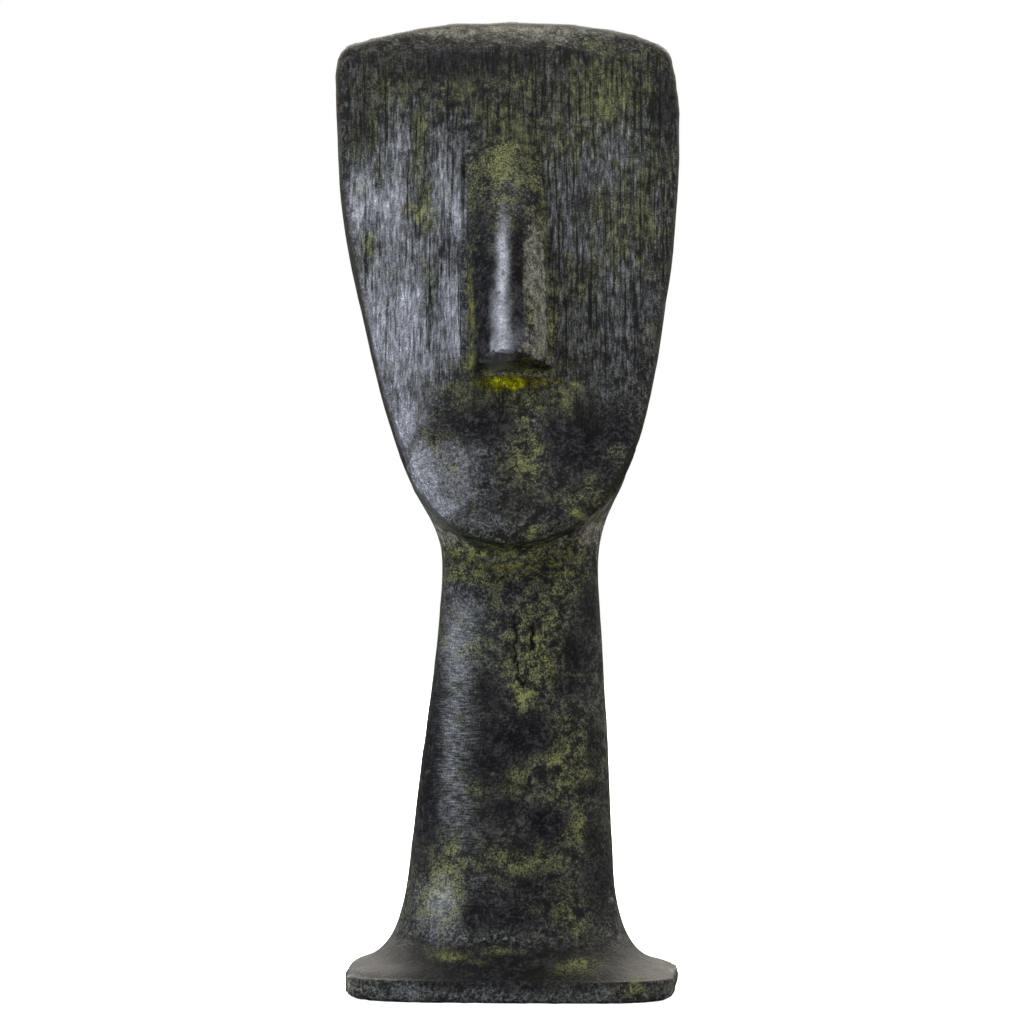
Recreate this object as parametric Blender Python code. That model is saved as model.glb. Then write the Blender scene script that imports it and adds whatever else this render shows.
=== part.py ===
"""A small cast bronze head in the Cycladic manner: a foot plate, a flared neck and a leaning
shield-shaped face with a long nose, all one casting. The face looks along -Y and +Z is up."""

import math

import bmesh
import bpy
from mathutils import Matrix, Vector

MM = 0.001

# The face panel, leaning back from the chin and turned a little towards +X.
FACE_LEAN = math.radians(16.0)
FACE_TURN = math.radians(2.5)
CHIN_FRONT = 17.1 * MM
CHIN_HEIGHT = 68.9 * MM
# Outline of the panel in its own plane, anticlockwise from the chin: across, up. Millimetres.
FACE_OUTLINE = (
    (-1.0, 0.2),
    (6.3, 1.5),
    (12.9, 5.7),
    (17.9, 12.8),
    (20.1, 18.6),
    (22.8, 30.7),
    (24.7, 43.6),
    (26.1, 56.1),
    (26.8, 68.1),
    (26.3, 76.6),
    (24.3, 81.3),
    (19.3, 84.0),
    (10.0, 85.9),
    (1.8, 86.5),
    (-9.0, 85.7),
    (-18.6, 83.2),
    (-25.0, 80.4),
    (-26.4, 76.3),
    (-26.2, 68.0),
    (-25.2, 54.8),
    (-22.4, 38.6),
    (-19.1, 22.7),
    (-16.5, 14.8),
    (-13.2, 8.4),
    (-7.6, 2.3),
)
FACE_HEIGHT = 86.5 * MM
FACE_MIDDLE_UP = 46.0 * MM
FACE_BULGE = 2.4 * MM
FACE_BULGE_POWER = 1.3
FACE_RIM_SHARE = 0.03
FACE_RIM_DROP = 1.1 * MM
CROWN_ROLL_START = 70.0 * MM
CROWN_ROLL_DROP = 5.0 * MM
FACE_CURVE_STEPS = 12
FACE_POINTS = 72
FACE_RINGS = (0.35, 0.65, 0.85)

# The back of the head, a dome behind the panel. Its depth follows the height up the face.
BACK_DEPTH_JAW = 15.0 * MM
BACK_DEPTH_MIDDLE = 19.0 * MM
BACK_DEPTH_CROWN = 11.0 * MM
BACK_SQUARENESS = 3.4
BACK_RINGS = 10

# The nose, a straight wedge standing on the panel. Its section is boxy and tapers towards the
# front: a broad front facet at the tip narrows upwards to a low soft ridge, and the top end
# closes in a rounded point.
NOSE_FOOT_UP = 26.4 * MM
NOSE_TOP_UP = 73.0 * MM
NOSE_CLOSING_UP = 10.0 * MM
NOSE_CLOSING_SHARE = 0.75
NOSE_FOOT_ACROSS = -0.1 * MM
NOSE_TOP_ACROSS = -0.95 * MM
NOSE_FOOT_WIDTH = 13.0 * MM
NOSE_TOP_WIDTH = 11.5 * MM
NOSE_FOOT_FULLNESS = 6.0
NOSE_TOP_FULLNESS = 2.2
NOSE_FOOT_TAPER = 0.5
NOSE_TOP_TAPER = 0.6
NOSE_FRONT_SHIFT = -0.6 * MM
NOSE_FOOT_PROUD = 10.2 * MM
NOSE_TOP_PROUD = 1.1 * MM
NOSE_ROOT = 3.0 * MM
NOSE_POINTS = 24
NOSE_RINGS = 12

# The foot and neck: height, then how far the section reaches to the left, right, front and
# back of the upright axis, then how square it is. Millimetres.
STEM_TURN = math.radians(-3.5)
STEM_STATIONS = (
    (0.0, 24.3, 24.4, 16.4, 16.4, 4.4),
    (0.6, 25.0, 25.0, 17.1, 17.1, 4.4),
    (2.8, 25.0, 25.1, 17.2, 17.2, 4.4),
    (3.4, 24.8, 24.6, 16.7, 17.0, 4.4),
    (4.0, 24.7, 22.4, 15.8, 16.3, 4.2),
    (5.3, 21.4, 20.3, 14.4, 14.5, 3.0),
    (6.9, 19.7, 18.6, 12.8, 13.4, 2.8),
    (8.8, 18.3, 17.6, 11.0, 12.4, 2.7),
    (9.5, 17.9, 17.3, 10.6, 12.1, 2.6),
    (13.0, 16.7, 16.2, 10.4, 11.4, 2.5),
    (20.0, 15.6, 15.3, 10.0, 11.0, 2.5),
    (32.4, 14.1, 14.8, 9.7, 10.4, 2.5),
    (48.5, 12.0, 14.0, 9.3, 9.9, 2.4),
    (64.9, 10.6, 13.3, 9.1, 9.6, 2.4),
    (69.8, 11.3, 13.5, 9.2, 9.9, 2.2),
    (73.5, 13.0, 14.7, 9.4, 10.3, 2.1),
    (77.6, 15.3, 16.8, 9.4, 10.7, 1.9),
    (82.0, 17.0, 18.1, 8.8, 11.2, 1.8),
    (90.0, 16.4, 17.0, 7.0, 12.1, 1.7),
    (98.0, 14.6, 15.0, 4.5, 12.4, 1.8),
    (108.0, 9.0, 9.4, 2.0, 10.2, 2.0),
)
STEM_POINTS = 48
STEM_STEPS = 2


def monotone_slopes(heights, values):
    """Slopes for a smooth curve through the values that never overshoots them."""
    steps = [
        (values[i + 1] - values[i]) / (heights[i + 1] - heights[i])
        for i in range(len(values) - 1)
    ]
    slopes = [steps[0]]
    for before, after in zip(steps, steps[1:]):
        same_way = before * after > 0.0
        slopes.append(2.0 * before * after / (before + after) if same_way else 0.0)
    slopes.append(steps[-1])
    return slopes


def hermite(start, end, start_slope, end_slope, span, share):
    """Value at this share of the way along one smooth step."""
    square, cube = share**2, share**3
    return (
        start * (2.0 * cube - 3.0 * square + 1.0)
        + end * (3.0 * square - 2.0 * cube)
        + span * start_slope * (cube - 2.0 * square + share)
        + span * end_slope * (cube - square)
    )


def smooth_stations(stations, steps):
    """The stations with smooth in-between ones added, as many steps in every gap."""
    columns = list(zip(*stations))
    heights = columns[0]
    slopes = [monotone_slopes(heights, column) for column in columns]
    result = []
    for i in range(len(stations) - 1):
        span = heights[i + 1] - heights[i]
        for step in range(steps):
            share = step / steps
            result.append(
                [
                    hermite(column[i], column[i + 1], slope[i], slope[i + 1], span, share)
                    for column, slope in zip(columns, slopes)
                ]
            )
    result.append(list(stations[-1]))
    return result


def stem_ring(height, left, right, front, back, squareness):
    """One level section of the foot or neck, square-shouldered as its squareness grows."""
    ring = []
    for i in range(STEM_POINTS):
        angle = math.tau * i / STEM_POINTS
        across, along = math.cos(angle), math.sin(angle)
        reach = (abs(across) ** squareness + abs(along) ** squareness) ** (-1.0 / squareness)
        x = across * reach * (right if across > 0.0 else left)
        y = along * reach * (back if along > 0.0 else front)
        ring.append(Vector((x, y, height)) * MM)
    return ring


def closed_curve(corners, steps):
    """A smooth closed curve through the corners."""
    count = len(corners)
    curve = []
    for i in range(count):
        before, start, end, after = (corners[(i + k) % count] for k in (-1, 0, 1, 2))
        span = (end - start).length
        start_slope = (end - before) / ((end - start).length + (start - before).length)
        end_slope = (after - start) / ((after - end).length + (end - start).length)
        for step in range(steps):
            curve.append(hermite(start, end, start_slope, end_slope, span, step / steps))
    return curve


def evenly_spaced(curve, count):
    """This many points set at equal distances round a closed curve."""
    ends = curve[1:] + curve[:1]
    lengths = [(end - start).length for start, end in zip(curve, ends)]
    gap = sum(lengths) / count
    points, passed = [], 0.0
    for start, end, length in zip(curve, ends, lengths):
        while len(points) < count and len(points) * gap < passed + length:
            points.append(start.lerp(end, (len(points) * gap - passed) / length))
        passed += length
    return points


def face_frame():
    """Places the panel's plane: X across the face, Y up it, Z out of it, chin at the origin."""
    upright = Matrix.Rotation(math.radians(90.0), 4, "X")
    lean = Matrix.Rotation(-FACE_LEAN, 4, "X")
    turn = Matrix.Rotation(FACE_TURN, 4, "Z")
    return Matrix.Translation((0.0, -CHIN_FRONT, CHIN_HEIGHT)) @ turn @ lean @ upright


def crown_roll(up):
    """How far the top of the face falls back behind its plane as it rolls into the crown."""
    share = max(0.0, up - CROWN_ROLL_START) / (FACE_HEIGHT - CROWN_ROLL_START)
    return CROWN_ROLL_DROP * share**2


def back_depth(up):
    """Depth of the head behind the panel: a curve through the jaw, middle and crown depths."""
    share = up / FACE_HEIGHT
    jaw_part = BACK_DEPTH_JAW * (1.0 - share) * (1.0 - 2.0 * share)
    middle_part = BACK_DEPTH_MIDDLE * 4.0 * share * (1.0 - share)
    crown_part = BACK_DEPTH_CROWN * share * (2.0 * share - 1.0)
    return jaw_part + middle_part + crown_part


def face_bulge(scale):
    """How far the panel stands out: two near-flat flanks, highest under the nose."""
    return FACE_BULGE * (1.0 - scale**FACE_BULGE_POWER)


def bulge_up_the_middle(up):
    """How far the panel stands out on the line up the middle of the face."""
    reach = FACE_MIDDLE_UP if up < FACE_MIDDLE_UP else FACE_HEIGHT - FACE_MIDDLE_UP
    return face_bulge(abs(up - FACE_MIDDLE_UP) / reach)


def head_ring(outline, scale, rise, back_share=0.0):
    """The outline shrunk towards the middle of the face, then raised or sent to the back."""
    middle = Vector((0.0, FACE_MIDDLE_UP))
    ring = []
    for point in outline:
        across, up = middle.lerp(point, scale)
        out = rise - crown_roll(up) - back_share * back_depth(up)
        ring.append(Vector((across, up, out)))
    return ring


def head_rings():
    """Rings of the head, from the middle of the face out to the rim and in across the back."""
    corners = [Vector(corner) * MM for corner in FACE_OUTLINE]
    outline = evenly_spaced(closed_curve(corners, FACE_CURVE_STEPS), FACE_POINTS)
    rings = []
    for scale in FACE_RINGS:
        rings.append(head_ring(outline, scale, face_bulge(scale)))
    edge = 1.0 - FACE_RIM_SHARE
    rings.append(head_ring(outline, edge, face_bulge(edge)))
    rings.append(head_ring(outline, 1.0, -FACE_RIM_DROP))
    for i in range(1, BACK_RINGS):
        angle = math.radians(90.0) * i / BACK_RINGS
        scale = math.cos(angle) ** (2.0 / BACK_SQUARENESS)
        back_share = math.sin(angle) ** (2.0 / BACK_SQUARENESS)
        rings.append(head_ring(outline, scale, -FACE_RIM_DROP, back_share))
    return rings


def nose_ring(share):
    """One section of the nose, this share of the way from its foot to its top."""

    def mix(foot, top):
        return foot + (top - foot) * share

    up = mix(NOSE_FOOT_UP, NOSE_TOP_UP)
    middle = mix(NOSE_FOOT_ACROSS, NOSE_TOP_ACROSS)
    fullness = mix(NOSE_FOOT_FULLNESS, NOSE_TOP_FULLNESS)
    taper = mix(NOSE_FOOT_TAPER, NOSE_TOP_TAPER)
    base = bulge_up_the_middle(up)
    proud = mix(NOSE_FOOT_PROUD, NOSE_TOP_PROUD) - base
    closing = max(0.0, 1.0 - (NOSE_TOP_UP - up) / NOSE_CLOSING_UP)
    half_width = mix(NOSE_FOOT_WIDTH, NOSE_TOP_WIDTH) / 2.0
    half_width *= math.sqrt(1.0 - NOSE_CLOSING_SHARE * closing**2)
    ring = [Vector((middle - half_width, up, -NOSE_ROOT))]
    ring.append(Vector((middle + half_width, up, -NOSE_ROOT)))
    for i in range(NOSE_POINTS + 1):
        angle = math.pi * i / NOSE_POINTS
        across, out = math.cos(angle), math.sin(angle)
        reach = (abs(across) ** fullness + out**fullness) ** (-1.0 / fullness)
        height = out * reach
        offset = across * reach * half_width * (1.0 - taper * height) + NOSE_FRONT_SHIFT * height
        ring.append(Vector((middle + offset, up, base + height * proud)))
    return ring


def add_loft(mesh, rings, start_pole=None, end_pole=None):
    """Joins closed rings of equal size into a skin, closing each end with a face or a pole."""
    loops = [[mesh.verts.new(point) for point in ring] for ring in rings]
    for lower, upper in zip(loops, loops[1:]):
        for i in range(len(lower)):
            j = (i + 1) % len(lower)
            mesh.faces.new((lower[i], lower[j], upper[j], upper[i]))
    for loop, pole in ((loops[0], start_pole), (loops[-1], end_pole)):
        if pole is None:
            mesh.faces.new(loop)
            continue
        tip = mesh.verts.new(pole)
        for i in range(len(loop)):
            mesh.faces.new((loop[i], loop[(i + 1) % len(loop)], tip))
    bmesh.ops.recalc_face_normals(mesh, faces=mesh.faces)


def new_object(name, mesh, collection):
    data = bpy.data.meshes.new(name)
    mesh.to_mesh(data)
    mesh.free()
    built = bpy.data.objects.new(name, data)
    collection.objects.link(built)
    return built


def build_stem(collection):
    """Foot plate, flare and neck, widening at its top into the back of the head."""
    mesh = bmesh.new()
    rings = [stem_ring(*station) for station in smooth_stations(STEM_STATIONS, STEM_STEPS)]
    add_loft(mesh, rings)
    mesh.transform(Matrix.Rotation(STEM_TURN, 4, "Z"))
    return new_object("cycladic_head", mesh, collection)


def build_head(collection):
    mesh = bmesh.new()
    front = Vector((0.0, FACE_MIDDLE_UP, FACE_BULGE))
    back = Vector((0.0, FACE_MIDDLE_UP, -FACE_RIM_DROP - back_depth(FACE_MIDDLE_UP)))
    add_loft(mesh, head_rings(), front, back)
    mesh.transform(face_frame())
    return new_object("head_mass", mesh, collection)


def build_nose(collection):
    mesh = bmesh.new()
    add_loft(mesh, [nose_ring(i / NOSE_RINGS) for i in range(NOSE_RINGS + 1)])
    mesh.transform(face_frame())
    return new_object("nose_mass", mesh, collection)


def join(body, extra):
    """Unites another mass with the body, which stays one solid."""
    union = body.modifiers.new(extra.name, "BOOLEAN")
    union.operation = "UNION"
    union.solver = "EXACT"
    union.object = extra
    extra.hide_render = True
    extra.display_type = "WIRE"


def bronze():
    """Dark brown-black bronze with a soft sheen."""
    material = bpy.data.materials.new("dark_bronze")
    material.use_nodes = True
    shader = material.node_tree.nodes["Principled BSDF"]
    shader.inputs["Base Color"].default_value = (0.045, 0.042, 0.034, 1.0)
    shader.inputs["Metallic"].default_value = 0.85
    shader.inputs["Roughness"].default_value = 0.5
    return material


def new_collection(name):
    made = bpy.data.collections.new(name)
    bpy.context.scene.collection.children.link(made)
    return made


def build():
    for old in list(bpy.data.objects):
        bpy.data.objects.remove(old)
    parts = new_collection("cycladic_head")
    masses = new_collection("masses")
    masses.hide_render = True
    casting = build_stem(parts)
    join(casting, build_head(masses))
    join(casting, build_nose(masses))
    casting.data.materials.append(bronze())


build()
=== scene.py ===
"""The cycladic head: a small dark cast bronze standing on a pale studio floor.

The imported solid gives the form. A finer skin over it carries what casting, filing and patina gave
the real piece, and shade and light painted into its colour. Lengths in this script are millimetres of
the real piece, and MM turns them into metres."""

import math
from types import SimpleNamespace

import bmesh
import bpy
import numpy as np
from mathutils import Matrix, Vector, noise
from mathutils.bvhtree import BVHTree
from mathutils.kdtree import KDTree


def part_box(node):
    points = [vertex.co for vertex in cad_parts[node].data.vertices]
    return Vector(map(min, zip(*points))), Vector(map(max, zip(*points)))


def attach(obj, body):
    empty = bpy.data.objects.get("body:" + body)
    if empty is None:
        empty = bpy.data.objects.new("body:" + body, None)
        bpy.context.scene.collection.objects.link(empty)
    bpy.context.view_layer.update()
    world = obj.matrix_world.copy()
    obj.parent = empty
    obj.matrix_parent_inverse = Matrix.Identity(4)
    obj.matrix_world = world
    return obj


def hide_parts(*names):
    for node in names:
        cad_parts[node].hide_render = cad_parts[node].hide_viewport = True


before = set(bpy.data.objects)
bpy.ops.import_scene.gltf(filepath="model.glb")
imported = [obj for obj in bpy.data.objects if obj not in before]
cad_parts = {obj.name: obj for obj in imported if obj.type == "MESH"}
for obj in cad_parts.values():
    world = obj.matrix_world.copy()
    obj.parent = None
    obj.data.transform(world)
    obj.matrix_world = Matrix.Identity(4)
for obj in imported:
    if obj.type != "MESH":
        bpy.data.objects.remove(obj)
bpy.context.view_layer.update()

NODE = "cycladic_head"
low, high = (Vector(corner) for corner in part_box(NODE))
FULL_HEIGHT = 150.4
MM = (high.z - low.z) / FULL_HEIGHT

# The floor lies this little below the underside, so that the two faces stay apart.
FLOOR_GAP = 0.05

# The view: level, in front of the face, from a little over half a metre.
CAMERA_PLACE = (0.0, -607.2, 73.5)
CAMERA_LENS = 139.0

# The plane of the face: a point of it at the chin, and the way it faces.
CHIN = np.array((0.0, -17.1, 68.9))
FACE_LEAN = math.radians(16.0)
FACE_TURN = math.radians(2.5)
FACE_NORMAL = np.array(
    (
        math.sin(FACE_TURN) * math.cos(FACE_LEAN),
        -math.cos(FACE_TURN) * math.cos(FACE_LEAN),
        math.sin(FACE_LEAN),
    )
)

# The net of the skin: its mesh size, halved where the surface faces the front and halved
# again along the lines of the relief.
NET_SIZE = 0.84
FRONT_FACING = -0.22

# The folds of the solid that the skin keeps crisp, how close the points along them lie, and the
# folds of the skin that are shaded sharp.
CRISP_FOLD = math.radians(38.0)
FOLD_SPACING = 0.05
SHARP_SHADING = math.radians(42.0)

# Rounds of smoothing: over the whole skin, in the blended zones, along the crisp lines, and last.
FAIRING_ROUNDS = 110
BLEND_ROUNDS = 100
LINE_ROUNDS = 20
LAST_ROUNDS = 2
LAST_GIVE = 0.8
LAST_GIVE_ON_LINES = 0.35

# The zones where the solid's parts blend: behind the jaw, and in the throat. A pair of numbers
# says where something is nothing and where it is full, and a band has a lower and an upper pair.
JOINT_BAND = ((60.0, 68.0), (112.0, 100.0))
JOINT_DEPTH = (-9.0, -5.0)
THROAT_BAND = ((60.0, 63.0), (70.0, 67.5))
THROAT_DEPTH = (-14.5, -12.5)
THROAT_BLEND = 0.5
BLENDED = 0.05

# How freely the skin is smoothed: more with the distance from a crisp line, and only a little
# above the crown's base and in the zone of the foot plate.
GIVE_REACH = (-0.3, 1.8)
CROWN_BASE = 134.0
CROWN_GIVE = 0.08
CROWN_MIDDLE_GIVE = 0.2
CROWN_MIDDLE = (23.0, 17.0)
PLATE_ZONE = 5.5
PLATE_GIVE = 0.12

# How much fuller the outline is than the smoothed skin: height, at the left, at the right.
SIDE_FULLNESS = (
    (0.0, 0.1, 0.3),
    (4.0, 0.1, 0.2),
    (6.0, 0.0, 0.0),
    (12.0, 0.22, 0.2),
    (60.0, 0.15, 0.25),
    (68.0, 0.1, 0.4),
    (74.0, 0.8, 0.75),
    (76.5, 0.85, 0.7),
    (79.0, 0.5, 0.42),
    (81.0, 0.35, 0.25),
    (82.6, 0.22, 0.05),
    (84.2, 0.15, 0.28),
    (86.0, 0.05, 0.35),
    (98.0, 0.3, 0.48),
    (106.0, 0.3, 0.4),
    (128.0, 0.17, 0.34),
    (134.0, 0.0, 0.1),
    (139.0, -0.1, 0.0),
    (142.5, 0.1, 0.1),
    (145.0, 0.0, 0.0),
)

# Only the outer half of each side moves out with the outline: shares of the side's width.
SIDE_REACH = (0.5, 1.0)

# The two upper corners of the head, seen from the front: across, height, radius.
CROWN_CORNERS = ((-25.4, 145.1, 1.5), (23.4, 144.4, 1.7))

# How far the edges of the patina's regions wander, as a share of their size and at most, and
# how fast the regions fade from their middles.
BENDING = 0.4
MOST_BENDING = 1.8
REGION_FALL = 0.7

# Lines of the relief, seen from the front: across, height.
NOSE_STRIP = ((-6.1, 95.2), (-5.7, 97.5), (-5.8, 101.0), (-6.1, 106.0), (-6.2, 118.0))
NOSE_RIGHT_STEP = ((6.6, 104.0), (7.3, 111.9), (7.8, 119.7), (7.4, 125.1), (6.3, 130.7))
THROAT_CREASE = ((-9.0, 67.2), (-5.1, 65.9), (0.0, 65.6), (5.4, 66.1), (8.5, 67.0))
FOOT_CREASE = ((-17.5, 8.7), (-12.0, 8.5), (-1.8, 8.3), (6.0, 7.9), (13.3, 7.4))
CRACKS = (
    ((0.7, 60.0), (0.4, 57.0), (0.6, 54.2), (0.5, 50.8), (1.4, 47.4)),
    ((3.3, 57.5), (3.2, 56.0), (2.9, 52.6)),
)

# Pits and casting beads, seen from the front: across, height, radius.
PITS = (
    (18.3, 118.3, 0.26),
    (-1.2, 109.5, 0.24),
    (-3.3, 100.1, 0.24),
    (-11.8, 108.9, 0.24),
    (11.5, 93.9, 0.26),
    (-9.5, 19.4, 0.26),
    (-7.9, 23.5, 0.24),
)
BEADS = (
    (-2.9, 12.4, 0.35),
    (1.7, 12.2, 0.4),
    (4.4, 12.1, 0.3),
    (1.8, 8.6, 0.35),
    (15.1, 14.3, 0.4),
    (-13.3, 11.8, 0.35),
    (-8.6, 141.0, 0.25),
    (-13.2, 141.6, 0.3),
    (-11.0, 140.8, 0.25),
)

# Regions of the olive patina, seen from the front: across, height, half width, half height,
# strength.
OLIVE_REGIONS = (
    (-18.0, 139.3, 6.0, 4.0, 0.6),
    (-21.8, 131.5, 3.0, 5.0, 0.8),
    (-14.0, 129.5, 1.8, 7.0, 0.8),
    (-13.9, 119.6, 2.4, 3.5, 0.95),
    (-22.9, 122.6, 1.2, 1.5, 0.95),
    (-22.0, 114.5, 1.4, 3.0, 0.95),
    (-13.0, 107.8, 1.6, 4.0, 0.85),
    (-17.4, 108.9, 1.2, 1.3, 0.9),
    (-1.8, 139.3, 10.0, 4.0, 0.6),
    (0.0, 129.0, 5.0, 10.0, 0.85),
    (-5.0, 125.0, 2.2, 6.0, 0.6),
    (4.3, 114.0, 1.8, 16.0, 0.7),
    (14.3, 139.0, 8.0, 6.0, 0.9),
    (9.7, 130.5, 5.0, 6.0, 0.7),
    (16.5, 118.0, 6.0, 7.0, 0.8),
    (21.0, 126.0, 3.0, 8.0, 0.65),
    (9.6, 108.0, 4.0, 5.0, 0.6),
    (11.8, 101.8, 1.5, 1.5, 0.6),
    (-1.0, 90.4, 8.0, 3.5, 0.8),
    (-8.0, 91.0, 3.0, 1.8, 0.8),
    (8.0, 90.0, 3.0, 3.0, 0.8),
    (0.0, 95.4, 7.0, 1.2, 1.0),
    (2.0, 82.0, 2.5, 6.0, 0.7),
    (-10.8, 84.0, 4.0, 8.0, 0.4),
    (13.0, 75.5, 5.0, 3.0, 0.6),
    (0.0, 68.0, 12.0, 1.3, 0.9),
    (0.0, 64.2, 12.0, 1.6, 0.8),
    (3.9, 53.0, 4.5, 8.0, 0.7),
    (1.7, 45.2, 1.8, 2.0, 1.0),
    (6.2, 57.0, 1.2, 1.8, 0.9),
    (8.0, 61.5, 3.5, 2.2, 0.6),
    (-7.0, 53.0, 3.0, 3.0, 0.5),
    (-10.0, 54.0, 1.2, 4.5, 0.6),
    (8.5, 36.0, 4.0, 6.0, 0.85),
    (0.2, 32.6, 3.5, 2.2, 0.65),
    (10.0, 26.2, 2.5, 3.2, 0.7),
    (-5.4, 31.2, 1.8, 1.3, 0.6),
    (1.7, 20.8, 7.0, 2.2, 0.75),
    (8.2, 14.0, 3.5, 3.5, 0.6),
    (-10.3, 16.7, 3.2, 5.5, 1.0),
    (-9.0, 6.8, 3.5, 1.2, 0.9),
    (9.0, 4.8, 5.0, 1.3, 0.9),
    (19.0, 5.0, 4.0, 1.5, 0.6),
)

# Blue-black soot, and painted shade under the nose, beside its ridge, on its left flank, along the
# neck's left edge, low on the neck and on top of the foot: the same five numbers.
DARK_REGIONS = (
    (-6.5, 143.0, 15.0, 2.6, 0.6),
    (-23.0, 132.0, 2.0, 6.0, 0.5),
    (23.6, 137.0, 3.0, 6.0, 0.6),
    (11.0, 122.0, 2.5, 6.0, 0.5),
    (-4.8, 87.0, 5.5, 4.0, 0.9),
    (-4.5, 80.8, 4.5, 3.2, 0.5),
    (11.7, 84.3, 6.5, 6.0, 0.95),
    (-1.8, 75.0, 7.0, 3.0, 0.5),
    (-13.0, 38.0, 2.4, 24.0, 0.9),
    (1.2, 108.0, 1.2, 14.0, 1.1),
    (-3.8, 46.5, 2.5, 3.0, 0.8),
    (0.3, 40.2, 5.0, 3.2, 1.0),
    (-3.0, 35.5, 3.0, 4.0, 0.9),
    (-1.5, 28.5, 4.0, 2.5, 0.7),
    (9.7, 51.9, 2.2, 2.8, 1.0),
    (8.9, 47.0, 2.8, 1.6, 0.8),
    (12.0, 59.0, 1.6, 4.0, 0.8),
    (11.4, 31.3, 2.6, 1.2, 0.8),
    (12.2, 38.0, 1.2, 5.0, 0.7),
    (5.4, 26.0, 2.7, 3.0, 1.0),
    (1.7, 22.8, 2.2, 1.5, 0.7),
    (2.9, 17.0, 3.0, 1.8, 0.8),
    (-5.6, 13.0, 3.5, 3.0, 0.9),
    (0.0, 12.5, 4.0, 2.5, 0.8),
    (13.2, 17.5, 2.6, 5.0, 0.7),
    (-4.6, 105.0, 1.6, 13.0, 1.2),
    (-2.0, 5.0, 15.0, 2.8, 1.0),
    (12.5, 24.0, 2.0, 4.0, 0.7),
    (0.0, 95.4, 7.0, 1.0, 0.45),
    (0.0, 5.5, 21.0, 2.4, 1.2),
    (0.0, 1.5, 22.0, 1.6, 0.15),
    (2.0, 15.0, 9.0, 5.0, 0.45),
    (4.8, 95.6, 2.0, 0.8, 1.2),
)

# Where handling and the file have bared the metal, and where its light colour is also a painted
# sheen: the same five numbers.
WEAR_AND_SHEEN_REGIONS = (
    (-0.9, 99.0, 2.2, 4.0, 0.5),
    (-17.0, 101.0, 7.0, 15.0, 0.9),
    (-22.8, 121.0, 1.9, 8.0, 0.95),
    (-18.0, 119.0, 4.0, 8.0, 0.75),
    (-8.2, 120.0, 1.4, 5.0, 0.9),
    (-10.5, 122.0, 3.0, 9.0, 0.7),
    (-9.3, 103.0, 2.0, 9.0, 0.85),
    (-16.2, 87.0, 2.0, 4.5, 1.1),
    (-13.4, 78.8, 2.2, 4.4, 1.6),
    (-10.6, 74.4, 2.6, 2.4, 1.0),
    (-9.6, 79.0, 5.0, 6.5, 0.66),
    (-5.0, 72.5, 5.0, 2.0, 0.35),
    (4.5, 86.0, 2.0, 3.0, 0.3),
    (-9.2, 38.0, 3.4, 20.0, 0.38),
    (-8.5, 54.0, 3.4, 6.0, 0.7),
    (0.0, 124.0, 3.0, 8.0, 0.45),
    (-10.4, 15.0, 3.2, 6.0, 0.8),
    (-15.0, 2.0, 3.0, 1.5, 0.4),
    (15.0, 92.0, 6.0, 10.0, 0.2),
    (13.5, 122.0, 9.0, 22.0, 0.44),
    (-17.0, 128.0, 8.0, 7.0, 0.55),
    (0.0, 1.5, 24.0, 1.6, 0.25),
)

# Bright yellow-green deposit under the nose: the same five numbers.
DEPOSIT_REGIONS = (
    (-0.9, 92.9, 2.8, 0.9, 1.0),
    (0.5, 93.0, 6.0, 0.9, 0.45),
)

# Yellow-green cores of the olive patina: the same five numbers.
CORE_REGIONS = (
    (-9.3, 6.5, 2.8, 0.8, 1.0),
    (-5.0, 5.8, 2.5, 0.6, 0.7),
    (9.8, 5.4, 4.2, 1.2, 0.85),
    (1.8, 45.0, 1.4, 1.5, 0.9),
    (6.2, 57.2, 1.0, 1.4, 0.8),
    (-13.9, 119.4, 1.6, 2.4, 0.9),
    (-22.9, 122.6, 0.9, 1.2, 0.95),
    (-17.4, 108.9, 0.9, 1.0, 0.7),
    (0.9, 81.3, 1.6, 1.8, 0.8),
    (3.7, 82.5, 1.2, 1.6, 0.7),
    (9.7, 74.1, 1.7, 1.4, 0.9),
    (12.1, 77.5, 1.2, 2.0, 0.6),
    (15.7, 82.5, 1.6, 1.4, 0.6),
    (3.1, 70.5, 1.3, 1.0, 0.7),
    (-8.8, 80.2, 0.9, 0.9, 0.7),
    (8.7, 90.6, 2.4, 1.6, 0.6),
    (2.2, 88.0, 1.4, 3.0, 0.5),
    (-2.0, 7.4, 3.0, 0.8, 0.7),
    (17.6, 2.2, 2.0, 1.4, 0.7),
    (9.0, 12.5, 1.2, 1.2, 0.5),
    (15.0, 135.0, 2.0, 3.0, 0.7),
    (-0.5, 123.5, 2.6, 6.0, 0.6),
    (-22.0, 114.5, 1.0, 2.2, 0.8),
    (-10.8, 15.5, 3.2, 5.0, 0.65),
    (9.5, 25.0, 1.6, 2.0, 0.5),
    (7.0, 34.0, 1.5, 2.5, 0.6),
    (0.3, 94.2, 6.0, 0.6, 0.9),
    (2.6, 102.5, 0.7, 3.5, 0.8),
    (6.3, 103.0, 0.6, 7.0, 0.8),
    (5.0, 66.5, 5.0, 0.8, 0.6),
    (-6.0, 67.0, 4.0, 0.8, 0.6),
)

# Pale grey-brown bloom, and painted reflection of the bright surroundings along the crown's top and
# on the ends of the foot plate: the same five numbers.
PALE_REGIONS = (
    (-25.0, 2.0, 1.5, 2.4, 0.65),
    (25.0, 2.0, 1.5, 2.4, 0.5),
    (8.5, 91.5, 2.6, 1.8, 0.2),
    (-8.5, 91.0, 2.0, 1.5, 0.2),
    (-11.0, 14.0, 2.6, 4.5, 0.6),
    (0.0, 149.8, 20.0, 2.5, 0.9),
)

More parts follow.
